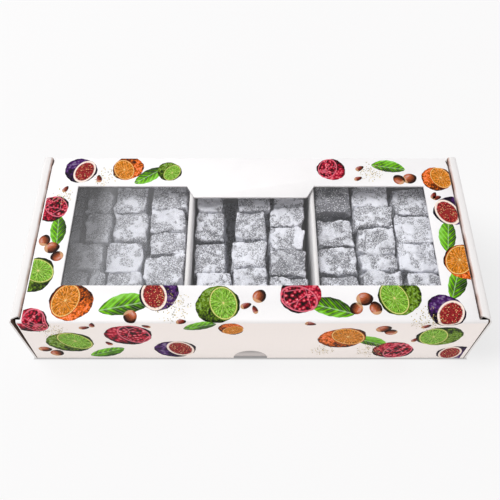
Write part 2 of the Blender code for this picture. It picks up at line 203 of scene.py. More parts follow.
class SweetSettings(bpy.types.PropertyGroup):
    """Dusted sweets and the loose sugar."""
    sugar: colour_property("Sugar", "Thick dust on a sweet", (0.92, 0.93, 1.0))
    gel: colour_property("Gel", "Where the sweet shows through thin dust", (0.19, 0.19, 0.21))
    top_grid: length_property("Upper grid", "Mesh size on the upper sweets", 0.65 * MM)
    low_grid: length_property("Lower grid", "Mesh size on the sweets below and at the sides", 1.3 * MM)
    lumps: length_property("Lumps", "Depth of the wide unevenness", 1.2 * MM)
    crust: length_property("Crust", "Thickness of a patch of caked sugar", 0.65 * MM)
    rim: length_property("Rim", "How far sugar stands out along an edge", 0.8 * MM)
    crook: length_property("Crook", "How far a sweet's outline runs crooked", 1.5 * MM)
    press: length_property("Press", "How far sweets of one column press together", 0.25 * MM)
    nicks: length_property("Nicks", "Depth of the nicks along the edges", 2.2 * MM)
    chips: length_property("Chips", "How deep a corner is broken off", 3.0 * MM)
    grain: length_property("Grain", "Size of a loose sugar grain", 0.78 * MM)
    grains: amount_property("Grains", "Loose grains for each square metre that faces up", 290000.0)
    seed: bpy.props.IntProperty(name="Seed", description="Changes every random choice", default=11, min=0)


class StageSettings(bpy.types.PropertyGroup):
    """Floor, lights and camera."""
    floor: colour_property("Floor", "Colour of the floor", (0.10, 0.10, 0.10))
    glow: amount_property("Floor glow", "How bright the floor's light table is", 0.83)
    horizon: amount_property("Horizon", "Strength of the even light near the horizon", 0.12)
    zenith: amount_property("Zenith", "Strength of the even light from straight above", 0.55)
    key: amount_property("Key light", "Power of the soft light from the back left", 57.0, unit="POWER")
    key_place: place_property("Key place", "Where the key light stands", (-1.15, 0.45, 2.7))
    fill: amount_property("Fill light", "Power of the warm light from the front", 4.0, unit="POWER")
    fill_place: place_property("Fill place", "Where the light from the front stands", (0.3, -2.2, 0.6))
    fill_tint: colour_property("Fill tint", "Colour of the light from the front", (1.0, 0.80, 0.66))
    lamp_size: length_property("Lamp size", "Width of each lamp", 1.5)
    lens: amount_property("Lens", "Focal length in millimetres", 45.9)
    pitch: amount_property(
        "Camera pitch", "How far the camera looks down from level", math.radians(58.03), subtype="ANGLE")
    camera: place_property("Camera place", "Where the camera stands", (-0.00028, -0.2528, 0.4451))


class DelightSettings(bpy.types.PropertyGroup):
    """All settings of the carton of sweets."""
    board: bpy.props.PointerProperty(type=BoardSettings)
    film: bpy.props.PointerProperty(type=FilmSettings)
    fruit: bpy.props.PointerProperty(type=PrintSettings)
    sweets: bpy.props.PointerProperty(type=SweetSettings)
    stage: bpy.props.PointerProperty(type=StageSettings)


# Shader maths

class Value:
    """A shader socket that takes part in arithmetic; each expression adds its Math nodes."""

    def __init__(self, finish, socket):
        self.finish = finish
        self.socket = socket

    def maths(self, operation, *others):
        sockets = dict(enumerate((self, *others)))
        return self.finish.node("ShaderNodeMath", {"operation": operation}, sockets)

    def __add__(self, other):
        return self.maths("ADD", other)

    def __sub__(self, other):
        return self.maths("SUBTRACT", other)

    def __rsub__(self, other):
        return (self * -1.0) + other

    def __mul__(self, other):
        return self.maths("MULTIPLY", other)

    def __truediv__(self, other):
        return self.maths("DIVIDE", other)

    def __abs__(self):
        return self.maths("ABSOLUTE")

    __radd__ = __add__
    __rmul__ = __mul__

    def sine(self):
        return self.maths("SINE")

    def root(self):
        return self.maths("SQRT")

    def part(self):
        return self.maths("FRACT")

    def angle_with(self, other):
        return self.maths("ARCTAN2", other)

    def most(self, other):
        return self.maths("MAXIMUM", other)

    def step(self, low, high):
        """0 under low and 1 over high, with a soft step between."""
        settings = {"interpolation_type": "SMOOTHSTEP", "clamp": True}
        sockets = {"Value": self, "From Min": low, "From Max": high}
        return self.finish.node("ShaderNodeMapRange", settings, sockets)


class Shading:
    """The shader tree of a material or a world, round the shader that its output shows."""

    def __init__(self, owner, shader):
        owner.use_nodes = True
        self.tree = owner.node_tree
        self.shader = self.tree.nodes[shader]

    def plug(self, socket, value):
        if isinstance(value, Value):
            self.tree.links.new(value.socket, socket)
        elif socket.type == "RGBA" and len(value) == 3:
            socket.default_value = (*value, 1.0)
        else:
            socket.default_value = value

    def set(self, sockets):
        for name, value in sockets.items():
            self.plug(self.shader.inputs[name], value)

    def node(self, kind, settings=(), sockets=(), output=0):
        """Add a node: its settings first, then its sockets by name or number."""
        made = self.tree.nodes.new(kind)
        for key, value in dict(settings).items():
            if key == "stops":
                self.set_stops(made.color_ramp.elements, value)
            else:
                setattr(made, key, value)
        for key, value in dict(sockets).items():
            if isinstance(key, int):
                self.plug(made.inputs[key], value)
            else:
                self.plug(next(i for i in made.inputs if i.enabled and i.name == key), value)
        enabled = [o for o in made.outputs if o.enabled]
        found = enabled[output] if isinstance(output, int) else made.outputs[output]
        return Value(self, found)

    @staticmethod
    def set_stops(elements, stops):
        for number, (where, tint) in enumerate(stops):
            element = elements[number] if number < 2 else elements.new(where)
            element.position = where
            element.color = (*tint, 1.0)

    def split(self, vector):
        source = self.node("ShaderNodeSeparateXYZ", (), {0: vector})
        return [Value(self, output) for output in source.socket.node.outputs]

    def join(self, x, y, z):
        return self.node("ShaderNodeCombineXYZ", (), {0: x, 1: y, 2: z})


class Finish(Shading):
    """A material in the making, with one Principled shader."""

    def __init__(self, name, roughness, **constants):
        self.material = bpy.data.materials.new(name)
        super().__init__(self.material, "Principled BSDF")
        self.set({"Roughness": roughness, **constants})

    def place(self):
        """Position on the piece, in metres."""
        return self.node("ShaderNodeTexCoord", output="Object")

    def attribute(self, name, output="Fac"):
        return self.node("ShaderNodeAttribute", {"attribute_name": name}, output=output)

    def noise(self, vector, scale, detail=2.0, roughness=0.5):
        sockets = {"Vector": vector, "Scale": scale, "Detail": detail, "Roughness": roughness}
        return self.node("ShaderNodeTexNoise", (), sockets)

    def cells(self, vector, scale, feature="F1"):
        return self.node("ShaderNodeTexVoronoi", {"feature": feature}, {"Vector": vector, "Scale": scale})

    def tones(self, where, *tints):
        """Colour along a row of colours, from the first at 0 to the last at 1."""
        stops = [(number / (len(tints) - 1), tint) for number, tint in enumerate(tints)]
        return self.node("ShaderNodeValToRGB", {"stops": stops}, {0: where})

    def mix(self, factor, first, second):
        """Colour between two colours."""
        return self.node("ShaderNodeMix", {"data_type": "RGBA"}, {"Factor": factor, "A": first, "B": second})

    def bump(self, height, distance):
        return self.node("ShaderNodeBump", (), {"Height": height, "Distance": distance})


# Meshes

def link(thing):
    bpy.context.scene.collection.objects.link(thing)
    return thing


def add_piece(name, shape):
    """A new piece with a finished shape, which is used up."""
    mesh = bpy.data.meshes.new(name)
    shape.to_mesh(mesh)
    shape.free()
    return link(bpy.data.objects.new(name, mesh))


@contextlib.contextmanager
def shape_of(mesh):
    """The mesh's shape to work on, which goes back to the mesh afterwards."""
    shape = bmesh.new()
    shape.from_mesh(mesh)
    yield shape
    shape.to_mesh(mesh)
    shape.free()


def merged_copy(node, name):
    """A new piece with the node's shape, its loose triangles joined up."""
    shape = bmesh.new()
    shape.from_mesh(frame["nodes"][node].data)
    bmesh.ops.remove_doubles(shape, verts=shape.verts, dist=MERGE)
    return add_piece(name, shape)


def apply_modifiers(piece):
    """Turn what the modifiers make into the piece's own plain mesh."""
    graph = bpy.context.evaluated_depsgraph_get()
    result = bpy.data.meshes.new_from_object(piece.evaluated_get(graph))
    piece.modifiers.clear()
    piece.data = result
    return piece


def paint(piece, *materials):
    piece.data.materials.clear()
    for material in materials:
        piece.data.materials.append(material)


def mount(piece, body, node=None):
    """Let a piece ride on a body, in place of a node if one is named."""
    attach(piece, body)
    if node:
        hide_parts(node)


def vectors_of(mesh, kind):
    """The points of a mesh, or the normals there, one to a row."""
    flat = np.zeros(len(mesh.vertices) * 3)
    mesh.vertices.foreach_get(kind, flat)
    return flat.reshape(-1, 3)


def soft_step(low, high, value):
    part = np.clip((value - low) / (high - low), 0, 1)
    return part * part * (3 - 2 * part)


def lattice_noise(points, cell, seed):
    """Smooth noise from -1 to 1 at each point, with features one cell wide."""
    scaled = points / cell
    base = np.floor(scaled).astype(np.int64)
    part = soft_step(0, 1, scaled - base)
    total = np.zeros(len(points))
    for corner in itertools.product((0, 1), repeat=3):
        at = base + np.array(corner)
        mixed = at[:, 0] * 374761393 + at[:, 1] * 668265263 + at[:, 2] * 1103515245 + seed * 974634777
        mixed = (mixed ^ (mixed >> 13)) * 1274126177
        value = ((mixed ^ (mixed >> 16)) & 0xFFFF) / 0x8000 - 1
        weight = np.prod([part[:, i] if corner[i] else 1 - part[:, i] for i in range(3)], axis=0)
        total += value * weight
    return total


def layered_noise(points, layers, seed):
    """Smooth noises added up, each with its own cell and weight."""
    return sum(weight * lattice_noise(points, cell, seed + number)
               for number, (cell, weight) in enumerate(layers))


# Board

FLAT = math.radians(1)
BEVELLED = math.radians(35)
SHARP = math.radians(40)
# Scale, detail and roughness of the noise that makes the paper's fibres
FIBRES = (1400.0, 4.0, 0.7)
# How soft the edge of a stain is, and how much lighter the painted shade on the front wall is at its foot
SOFT = 0.1 * MM
PAINTED_FOOT_LIGHT = 2.6
FOOT_HEIGHT = 12 * MM
# How wide the brown band is on an end wall's roll, and how far down from the lid it shows
BAND_WIDTH = 1.7 * MM
BAND_DROP = 3 * MM


def rounded_board(node, name, rounding, depth_of, is_cut):
    """The node's board with rounded edges, smooth curves and its cut edges marked.

    The layer attribute keeps how deep in the board each point lies: 0 at one liner, 1 at the other.
    """
    piece = merged_copy(node, name)
    with shape_of(piece.data) as shape:
        for face in shape.faces:
            face.material_index = 1 if is_cut(face.calc_center_median(), face.normal) else 0
        bmesh.ops.dissolve_limit(shape, angle_limit=FLAT, verts=shape.verts, edges=shape.edges,
                                 delimit={"MATERIAL"})
    bevel = piece.modifiers.new("edges", "BEVEL")
    bevel.width = rounding
    bevel.segments = 2
    bevel.limit_method = "ANGLE"
    bevel.angle_limit = BEVELLED
    apply_modifiers(piece)
    piece.data.shade_smooth()
    piece.data.set_sharp_from_angle(angle=SHARP)
    layer = piece.data.attributes.new("layer", "FLOAT", "POINT")
    depths = [min(max(depth_of(*vert.co), 0.0), 1.0) for vert in piece.data.vertices]
    layer.data.foreach_set("value", depths)
    return piece


def lid_depth(x, y, z):
    """Depth in the lid: down through the panel, round the crease and back through the flap."""
    centre_y = FRONT + FRONT_CREASE_RADIUS
    centre_z = LID_TOP - FRONT_CREASE_RADIUS
    if y > centre_y and z > centre_z:
        return (LID_TOP - z) / BOARD
    if z > centre_z:
        return (FRONT_CREASE_RADIUS - math.hypot(y - centre_y, z - centre_z)) / BOARD
    return (y - FRONT) / BOARD


def lid_cut(centre, normal):
    """Edges of the panel and its window, sides and lower edge of the flap."""
    if centre.y > FRONT + 2 * FRONT_CREASE_RADIUS:
        return abs(normal.z) < 0.5
    return abs(normal.x) > 0.7 or (centre.z < LID_TOP / 2 and abs(normal.y) < 0.5)


def tray_depth(x, y, z):
    """Depth in a rolled end wall, or in the front or back wall."""
    side = CARTON_HIGH.x - abs(x)
    if side > END_WALL + MERGE:
        return min(y - CARTON_LOW.y - BOARD - GAP, CARTON_HIGH.y - y) / BOARD
    outer = side < END_WALL / 2
    radius = END_OUTER_RADIUS if outer else END_INNER_RADIUS
    aside = side if outer else END_WALL - side
    below = CARTON_HIGH.z - z
    if aside < radius and below < radius:
        return (radius - math.hypot(radius - aside, radius - below)) / BOARD
    return min(aside, below) / BOARD


def tray_cut(centre, normal):
    """Ends of the rolled walls, and the upper edges of the front and back walls."""
    if CARTON_HIGH.x - abs(centre.x) < END_WALL:
        return abs(normal.y) > 0.5 and CARTON_HIGH.y - abs(centre.y) < END_WALL
    return normal.z > 0.9 and LID_TOP / 2 < centre.z


def partition_depth(node):
    """A function that gives the depth in one folded partition."""
    low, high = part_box(node)
    middle = (low.x + high.x) / 2
    half = (high.x - low.x) / 2
    return lambda x, y, z: (half - math.hypot(x - middle, max(0.0, z - high.z + half))) / PARTITION_BOARD


def partition_cut(_centre, normal):
    """Ends of a folded partition."""
    return abs(normal.y) > 0.9


def past(value, limit):
    """0 up to a limit and 1 past its soft edge."""
    return value.step(limit, limit + SOFT)


def lid_painted_warm_light(finish, settings, spot, paper):
    """Painted warm light on the front flap: its paper is warmer than the panel's."""
    _, _, z = spot
    panel = z.step(LID_TOP - 2 * BOARD, LID_TOP - BOARD)
    return finish.mix(panel, tuple(settings.flap), paper)


def tray_stain_and_shade(finish, settings, spot, paper):
    """Painted shade on the front wall and in the gaps under the lid; brown inside the end walls and along
    their tops.
    """
    x, y, z = spot
    wall_face = CARTON_LOW.y + BOARD + GAP
    behind = 1 - past(y, wall_face + SOFT)
    behind = behind * (1 - past(abs(x), CARTON_HIGH.x - END_WALL - BOARD))
    # Painted shade on the front wall behind the flap, with painted light from the floor at its foot
    backing = tuple(settings.backing)
    painted_foot_light = tuple(value * PAINTED_FOOT_LIGHT for value in backing)
    paper = finish.mix(behind, paper, finish.mix(z.step(0.0, FOOT_HEIGHT), painted_foot_light, backing))
    side = CARTON_HIGH.x - abs(x)
    within = past(side, BOARD - 2 * SOFT) * (1 - past(side, END_WALL - BOARD + SOFT))
    under = 1 - past(z, CARTON_HIGH.z - BOARD + 2 * SOFT)
    paper = finish.mix(within * under, paper, tuple(settings.reverse))
    # A patchy brown band along the inner edge of the end walls' tops
    roll = side.step(END_WALL - BAND_WIDTH, END_WALL) * (1 - past(side, END_WALL + SOFT))
    patchy = finish.noise(finish.join(x, y, 0.0), 70.0, 2.0, 0.6).step(0.30, 0.62)
    shown = z.step(LID_TOP - BAND_DROP - SOFT, LID_TOP - BAND_DROP + SOFT)
    brown_band = roll * shown * (patchy * 0.55 + 0.35)
    paper = finish.mix(brown_band, paper, tuple(settings.crease))
    # Painted shade in the gap between the end wall and the lid
    painted_gap_shade = brown_band * (1 - z.step(LID_TOP - 0.2 * MM, LID_TOP + 0.6 * MM))
    return finish.mix(painted_gap_shade, paper, shade(settings.crease, 0.12))


def liner_finish(name, settings, liner, roughness, stain_and_shade):
    """White paper pressed over flutes: washboard, fibres, clouds, a piece's stains, painted light and shade.
    """
    finish = Finish(name, roughness)
    place = finish.place()
    across, along, up = finish.split(place)
    wave = (across * (2 * math.pi / settings.flute)).sine()
    fibres = finish.noise(place, *FIBRES)
    clouds = finish.noise(place, 38.0)
    paper = finish.mix((fibres * 0.6 + clouds * 0.8).step(0.35, 0.75), *shades(liner, 0.94, 1.0))
    finish.set({
        "Base Color": stain_and_shade(finish, settings, (across, along, up), paper),
        "Roughness": fibres * 0.16 + (roughness - 0.08),
        "Normal": finish.bump(wave * 0.006 + fibres * 0.02, 1.0 * MM),
    })
    return finish.material


def cut_finish(name, settings, liner):
    """Cut edge of the board: the fluted paper between its two white liners."""
    finish = Finish(name, 0.85)
    place = finish.place()
    across, along, _ = finish.split(place)
    wave = ((across + along) * (2 * math.pi / settings.flute)).sine()
    fibres = finish.noise(place, *FIBRES)
    depth = finish.attribute("layer")
    core = depth.step(0.14, 0.20) * (1 - depth.step(0.80, 0.86))
    paper = 1 - abs(depth - (wave * 0.27 + 0.5)).step(0.06, 0.13)
    fluted = finish.mix(fibres, *shades(settings.medium, 0.8, 1.0))
    cut = finish.mix(paper, tuple(settings.hollow), fluted)
    finish.set({
        "Base Color": finish.mix(core, shade(liner, 0.75), cut),
        "Roughness": fibres * 0.1 + 0.8,
        "Normal": finish.bump(fibres * 0.05 - core * (1 - paper) * 0.5, 1.0 * MM),
    })
    return finish.material


def add_board(node, name, materials, settings, depth_of, is_cut):
    """Put a rounded and finished board piece in a node's place."""
    piece = rounded_board(node, name, settings.rounding, depth_of, is_cut)
    paint(piece, *materials)
    mount(piece, "lid" if node == "lid" else "carton", node)


# Print

# Where a fruit's cut face lies and how large it is, as shares of the fruit
FACE_SHIFT = 0.26
FACE_WIDE = 0.64
FACE_TALL = 0.88

# Middle of each motif on the unfolded board, its size and its turn, in millimetres and degrees.
# The board unfolds from the lid's panel forwards over the flap.
PLACES = {
    "oranges": ((-94, 60, 12, 205), (142, 50, 12, 20), (-121, -55, 15, 165), (150, -24, 15, 150),
                (64, -95, 17, 35), (-13, -80, 9, 300)),
    "limes": ((-62, 57, 9.5, 330), (-149, -34, 14, 60), (-22, -57, 15, 15),
              (101, -51, 15, 200), (-127, -102, 17, 30), (131, -92, 16, 190)),
    "pomegranates": ((62, 59, 11, 160), (-146, 22, 12, 40), (34, -49, 15, 250), (-147, -72, 13, 10),
                     (-84, -90, 16.5, 20), (103, -116, 15, 340)),
    "figs": ((-130, 58, 12.5, 340), (148, 20, 13.5, 200), (-62, -49, 13.5, 200), (131, -62, 13, 320),
             (-54, -114, 15, 15), (149, -121, 13, 180)),
    "leaves": ((-77, 53, 13, 215), (106, 61, 13, 350), (-139, 3, 13, 95), (141, -40, 14, 70),
               (142, -2, 14, 80), (-84, -58, 18, 12), (54, -60, 16, 165), (-104, -119, 15, 28),
               (84, -101, 15, 330), (-34, -76, 12, 20)),
    "nuts": ((121, 50, 5.2, 20), (113, 49, 4.6, 130), (-141, -12, 5.2, 10), (-147, -6, 4.6, 80),
             (-136, -19, 4.4, 200), (-80, -66, 4.8, 300), (77, -53, 5.6, 10),
             (84, -60, 4.8, 100), (71, -60, 4.6, 220), (-141, -121, 5.2, 60), (-148, -114, 4.6, 0),
             (90, -80, 5.2, 30), (96, -85, 4.4, 160), (6, -51, 5.0, 60)),
    "kernels": ((137, 34, 3.4, 60), (84, 60, 3.6, 30), (-3, -58, 3.8, 20), (3, -61, 3.2, 110),
                (-112, -78, 3.8, 15), (-106, -74, 3.3, 80), (40, -72, 3.8, 350), (118, -76, 3.6, 40),
                (-46, -70, 3.4, 10), (-70, -76, 3.2, 150), (-115, 50, 3.6, 100), (82, 50, 3.2, 20),
                (-139, 40, 3.2, 60), (115, -98, 3.4, 70), (-100, -104, 3.4, 120), (139, 32, 3.4, 15)),
}
CRUMB_PATCHES = ((-52, -58, 13), (118, -70, 12), (-134, -84, 11), (88, -116, 12), (-110, 52, 9),
                 (92, 57, 10), (52, -116, 9), (-140, 34, 8))
CRUMB = 0.42 * MM
# A patch is scattered over once for each of these shares of its size
CRUMB_CROWDING = (1.0, 0.55)
# The same on the back wall, whose print runs on over the back crease
BACK_PLACES = {
    "oranges": ((96, 92, 14, 30), (-20, 108, 13, 200)),
    "limes": ((-92, 96, 14, 150), (128, 112, 13, 20)),
    "pomegranates": ((36, 88, 13, 300), (-132, 88, 13, 60)),
    "figs": ((-52, 90, 12, 10), (64, 116, 12, 170)),
    "leaves": ((8, 84, 16, 200), (-112, 112, 15, 330), (116, 90, 15, 100)),
    "nuts": ((-72, 110, 5.4, 10), (-65, 116, 4.6, 80), (84, 108, 5.2, 60), (4, 106, 4.8, 200)),
    "kernels": ((-36, 76, 3.6, 20), (78, 80, 3.6, 120), (20, 118, 3.4, 60), (-110, 80, 3.4, 160)),
}
# Rings and spokes of a motif's grid, and which inks lie over which
RINGS = {"leaves": 9, "nuts": 5, "kernels": 4}
SPOKES = {"leaves": 44, "nuts": 24, "kernels": 18}
DEFAULT_RINGS = 12
DEFAULT_SPOKES = 56
STACK = {"leaves": 0, "oranges": 1, "limes": 2, "pomegranates": 3, "figs": 4, "nuts": 5, "kernels": 6}
# What keeps the noise of one motif from being its neighbour's
FIRST_MOTIF = 0.1
NEXT_MOTIF = 0.37

CREASE_CUTS = 10
CREASE_ARC = FRONT_CREASE_RADIUS * math.pi / 2
PANEL_END = FRONT + FRONT_CREASE_RADIUS
FLAP_START = PANEL_END - CREASE_ARC
FLAP_END = PANEL_END + FRONT_CREASE_RADIUS - CREASE_ARC - LID_TOP + LID_LOW.z
# Where the print ends on the panel, on the flap and on the back wall
EDGE_CLEAR = 0.25 * MM
PANEL_HALF = CARTON_HIGH.x - END_WALL - 1.2 * MM
FLAP_HALF = CARTON_HIGH.x - FLAP_TOP_INSET - EDGE_CLEAR
BACK_HALF = CARTON_HIGH.x - END_WALL - EDGE_CLEAR
BACK_RANGE = (BACK + BOARD + 0.6 * MM, BACK + LID_TOP - EDGE_CLEAR)


def round_outline(angle, wobble):
    """Fruit: nearly round, a little flattened and uneven."""
    reach = 1 + 0.025 * math.sin(3 * angle + wobble) + 0.015 * math.sin(7 * angle + 2 * wobble)
    reach += 0.010 * math.sin(17 * angle + 3 * wobble)
    return reach * math.cos(angle), 0.92 * reach * math.sin(angle)


def leaf_outline(angle, wobble):
    """Leaf: pointed at both ends, bent a little, with a wavy edge."""
    wave = 1 + 0.035 * math.sin(15 * angle + wobble)
    across = 0.44 * math.copysign(abs(math.sin(angle)) ** 1.45, math.sin(angle)) * wave
    along = math.cos(angle)
    return along, across + 0.10 * (1 - along * along) * math.sin(wobble)


def nut_outline(angle, wobble):
    """Nut: round with a small point."""
    point = 1 + 0.10 * max(0.0, math.cos(angle)) ** 6
    return point * math.cos(angle), (0.90 + 0.03 * math.sin(wobble)) * math.sin(angle)


def kernel_outline(angle, _wobble):
    """Kernel: a narrow drop."""
    return math.cos(angle), 0.56 * math.sin(angle) * (1 - 0.28 * math.cos(angle))


OUTLINES = {"leaves": leaf_outline, "nuts": nut_outline, "kernels": kernel_outline}


def fold_front(u, v, height):
    """Place on the lid of a point of the unfolded board, at a height over its face."""
    if v >= PANEL_END:
        return Vector((u, v, LID_TOP + height))
    if v <= FLAP_START:
        return Vector((u, FRONT - height, LID_TOP - FRONT_CREASE_RADIUS + v - FLAP_START))
    angle = (PANEL_END - v) / FRONT_CREASE_RADIUS
    reach = FRONT_CREASE_RADIUS + height
    rise = reach * math.cos(angle) - FRONT_CREASE_RADIUS
    return Vector((u, PANEL_END - reach * math.sin(angle), LID_TOP + rise))


def fold_back(u, v, height):
    """Place on the back wall of a point of the unfolded board."""
    return Vector((u, BACK + height, LID_TOP + BACK - v))


def on_lid(u, v):
    """Whether a point of the unfolded board lies on the lid's panel or its flap."""
    in_window = WINDOW_X[0] < u < WINDOW_X[1] and WINDOW_Y[0] < v < WINDOW_Y[1]
    half = FLAP_HALF if v < FLAP_START else PANEL_HALF
    return not in_window and abs(u) < half and FLAP_END + EDGE_CLEAR < v < BACK - EDGE_CLEAR


def on_back_wall(u, v):
    return abs(u) < BACK_HALF and BACK_RANGE[0] < v < BACK_RANGE[1]


def cuts_at(across, along):
    """Planes that cut the unfolded board at some places across it and along it."""
    return [((x, 0, 0), (1, 0, 0)) for x in across] + [((0, y, 0), (0, 1, 0)) for y in along]


def lid_cuts():
    """Lines that the print on the lid ends at or bends on."""
    halves = [side * half for side in (-1, 1) for half in (PANEL_HALF, FLAP_HALF)]
    bends = [PANEL_END - CREASE_ARC * step / CREASE_CUTS for step in range(CREASE_CUTS + 1)]
    return cuts_at(WINDOW_X, (*WINDOW_Y, BACK - EDGE_CLEAR)) + cuts_at(halves, bends)


def motif_grid(shape, own, kind, number, u, v, size, turn):
    """One motif: a polar grid of faces, whose points keep their place on the motif."""
    rings = RINGS.get(kind, DEFAULT_RINGS)
    spokes = SPOKES.get(kind, DEFAULT_SPOKES)
    outline = OUTLINES.get(kind, round_outline)
    turn = math.radians(turn)

    def point(a, b):
        x = (u + size * (a * math.cos(turn) - b * math.sin(turn))) * MM
        y = (v + size * (a * math.sin(turn) + b * math.cos(turn))) * MM
        vert = shape.verts.new((x, y, 0.0))
        vert[own] = Vector((a, b, number * NEXT_MOTIF + FIRST_MOTIF))
        return vert

    edge = [outline(2 * math.pi * spoke / spokes, 1.7 * number) for spoke in range(spokes)]
    grid = [[point(a * ring / rings, b * ring / rings) for a, b in edge] for ring in range(1, rings + 1)]
    middle = point(0.0, 0.0)
    for spoke in range(spokes):
        after = (spoke + 1) % spokes
        shape.faces.new((middle, grid[0][spoke], grid[0][after]))
        for inner, outer in zip(grid, grid[1:]):
            shape.faces.new((inner[spoke], outer[spoke], outer[after], inner[after]))


def motif_shape(kind, places, ink, fold, inside, cuts):
    """All motifs of one kind, cut at the board's edges, thickened and folded."""
    shape = bmesh.new()
    own = shape.verts.layers.float_vector.new("motif")
    for number, motif in enumerate(places):
        motif_grid(shape, own, kind, number, *motif)
    for spot, direction in cuts:
        everything = shape.verts[:] + shape.edges[:] + shape.faces[:]
        bmesh.ops.bisect_plane(shape, geom=everything, dist=MERGE, plane_co=spot, plane_no=direction)
    off = [face for face in shape.faces if not inside(*face.calc_center_median()[:2])]
    bmesh.ops.delete(shape, geom=off, context="FACES")
    thick = bmesh.ops.extrude_face_region(shape, geom=shape.faces[:], use_keep_orig=True)
    raised = {vert for vert in thick["geom"] if isinstance(vert, bmesh.types.BMVert)}
    base = ink * 0.25
    top = ink * (1 + 0.5 * STACK[kind])
    for vert in shape.verts:
        u, v, _ = vert.co
        vert.co = fold(u, v, top if vert in raised else base)
    bmesh.ops.recalc_face_normals(shape, faces=shape.faces)
    return shape


def motif_place(finish):
    """Where a point lies along and across its own motif, and the motif's number."""
    return finish.split(finish.attribute("motif", "Vector"))


def cut_fruit(finish):
    """A motif's own coordinates: over the whole fruit, and out and round on its cut face."""
    across, up, number = motif_place(finish)
    face_across = (across - FACE_SHIFT) / FACE_WIDE
    face_up = up / FACE_TALL
    out = (face_across * face_across + face_up * face_up).root()
    turn = face_up.angle_with(face_across)
    whole = (across * across + up * up).root()
    light = (up * 0.75 - across * 0.55).step(-0.9, 0.9)
    return finish.join(across, up, number), out, turn, whole, light


def coat(finish, spot, whole, light, bumps, *tints):
    """Uneven skin: light on its upper side, dark in its dips and towards its outline."""
    dips = finish.cells(spot, bumps)
    mottled = finish.noise(spot, bumps * 0.5, 3.0, 0.7)
    lit = light * 0.65 + mottled * 2.2 - dips * 0.85 - whole.step(0.78, 1.02) * 0.45 - 0.62
    return finish.tones(lit, *tints)


def printed_finish(name):
    """Ink on paper, which shines little."""
    return Finish(name, 0.6, **{"Specular IOR Level": 0.15})


def finish_print(finish, ink, sheen):
    finish.set({"Base Color": ink, "Roughness": sheen * 0.2 + 0.5})
    return finish.material


def citrus_finish(name, rind, flesh, segments):
    """Orange or lime cut across, with its segments, pith and pored rind."""
    finish = printed_finish(name)
    spot, out, turn, whole, light = cut_fruit(finish)
    skin = coat(finish, spot, whole, light, 11.0, *shades(rind, 0.03, 0.28, 0.9, 1.12))
    _, _, number = finish.split(spot)
    streaks = finish.noise(finish.join(turn * 6.0, out * 1.8, number), 2.6, 3.0, 0.7)
    pulp = finish.tones((streaks - 0.5) * 3.0 + 0.40, *shades(flesh, 0.08, 0.50, 0.95, 1.35))
    wedge = abs((turn * (segments / 2)).sine()) * out
    walls = (1 - wedge.step(0.015, 0.06)) * 0.7
    walls = walls.most(1 - out.step(0.04, 0.10)).most(out.step(0.87, 0.90))
    face = finish.mix(walls * 0.65, pulp, rgb(250, 226, 150))
    edge = finish.noise(spot, 5.0, 2.0, 0.6)
    face = finish.mix((out + (edge - 0.5) * 0.05).step(0.925, 0.95), face, shade(rind, 0.55))
    return finish_print(finish, finish.mix(out.step(0.98, 1.01), face, skin), edge)


def pomegranate_finish(name, crimson):
    """Pomegranate broken open: crowded seeds between pale walls."""
    finish = printed_finish(name)
    spot, out, _, whole, light = cut_fruit(finish)
    across, up, number = finish.split(spot)
    seeds = finish.cells(spot, 6.2)
    tint = finish.noise(spot, 3.4, 2.0, 0.6)
    seed = finish.tones(1.15 - seeds * 1.5 + (tint - 0.5) * 1.4, *shades(crimson, 0.01, 0.18, 0.85, 1.2))
    glint = finish.cells(finish.join(across + 0.03, up - 0.035, number), 6.2)
    seed = finish.mix((1 - glint.step(0.05, 0.20)) * tint.step(0.45, 0.6), seed, rgb(255, 214, 220))
    walls = finish.cells(spot, 1.4, "DISTANCE_TO_EDGE")
    wall = ((1 - (walls + (tint - 0.5) * 0.08).step(0.01, 0.04)) * 0.8).most(out.step(0.88, 0.93))
    face = finish.mix(wall * 0.70, seed, rgb(240, 120, 140))
    skin = coat(finish, spot, whole, light, 7.0, *shades(crimson, 0.01, 0.20, 0.8, 1.15))
    return finish_print(finish, finish.mix(out.step(0.98, 1.02), face, skin), tint)


def fig_finish(name, purple):
    """Fig cut open: purple skin, pale ring, red flesh with seeds."""
    finish = printed_finish(name)
    spot, out, turn, whole, light = cut_fruit(finish)
    _, _, number = finish.split(spot)
    skin = coat(finish, spot, whole, light, 5.0, *shades(purple, 0.06, 0.35, 1.0, 1.15))
    rays = finish.noise(finish.join(turn * 3.2, out * 2.2, number), 2.6, 3.0, 0.75)
    red = finish.tones((rays - 0.5) * 2.8 + 0.45, rgb(30, 2, 8), rgb(140, 18, 26), rgb(222, 84, 74))
    dots = finish.cells(spot, 11.0)
    seed = (1 - dots.step(0.16, 0.28)) * out.step(0.10, 0.2) * (1 - out.step(0.66, 0.76))
    flesh = finish.mix(seed, red, rgb(250, 216, 150))
    ring = (out + (rays - 0.5) * 0.16).step(0.78, 0.87)
    face = finish.mix(ring, flesh, rgb(244, 226, 214))
    return finish_print(finish, finish.mix(out.step(0.96, 1.0), face, skin), rays)


def leaf_finish(name, green):
    """Leaf with a pale midrib, side veins and blades that bulge between them."""
    finish = printed_finish(name)
    along, across, number = motif_place(finish)
    away = abs(across)
    soft = finish.noise(finish.join(along, across, number), 2.2, 2.0, 0.6)
    vein = abs((along * 3.2 - away * 4.2).part() - 0.5)
    lit = vein * 1.1 + soft * 1.3 + across * 0.9 - 0.53
    blade = finish.tones(lit, *shades(green, 0.04, 0.26, 0.9, 1.1))
    rib = (1 - away.step(0.010, 0.035)).most((1 - vein.step(0.02, 0.08)) * 0.5)
    return finish_print(finish, finish.mix(rib * 0.5, blade, shade(green, 1.4)), soft)


